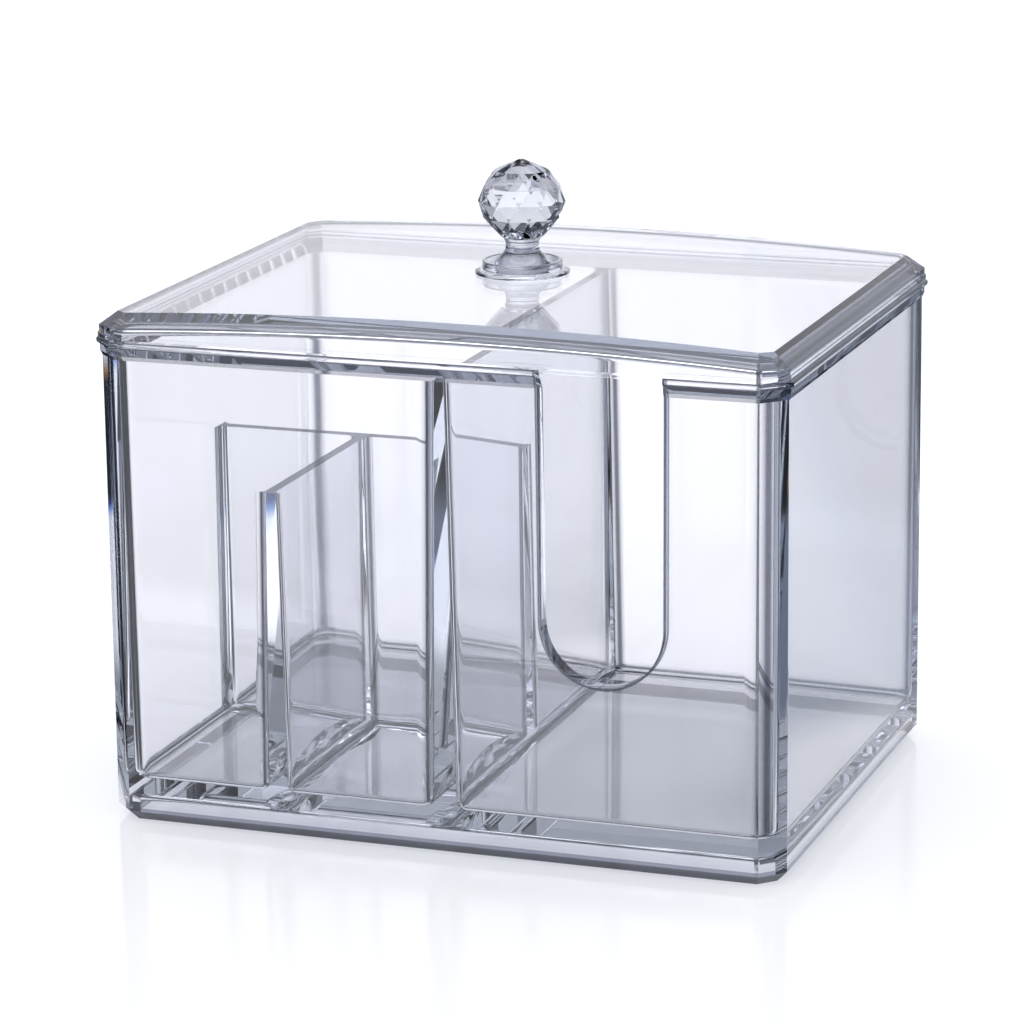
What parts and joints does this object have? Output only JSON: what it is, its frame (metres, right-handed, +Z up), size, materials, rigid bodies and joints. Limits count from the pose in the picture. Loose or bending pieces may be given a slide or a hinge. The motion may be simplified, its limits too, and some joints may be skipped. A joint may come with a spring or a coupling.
{
  "type": "cotton swab dispenser",
  "caption": "Clear box with tall and low divided compartments, a U-shaped swab slot in the front wall, and a lift-off arched lid with a faceted knob.",
  "frame": {"origin": "on the table, under the middle of the box's footprint", "axes": "+X along the box's length to the right, -Y towards the front wall with the swab slot, +Z up towards the knob"},
  "size_m": [0.135, 0.105, 0.1221],
  "materials": {
    "clear_box": "clear polished polystyrene or acrylic, faint cool tint",
    "clear_lid": "clear polished polystyrene or acrylic, faint cool tint",
    "clear_knob": "clear polished acrylic with sharp facets"
  },
  "bodies": {
    "box": {"box_body": "clear_box"},
    "lid": {"lid": "clear_lid", "knob_flange": "clear_knob", "knob_stem": "clear_knob", "knob_ball": "clear_knob"}
  },
  "joints": [
    {"name": "lid_lift", "type": "slide", "parent": "box", "child": "lid", "axis": [0, 0, 1], "range_m": [0, 0.08]}
  ]
}
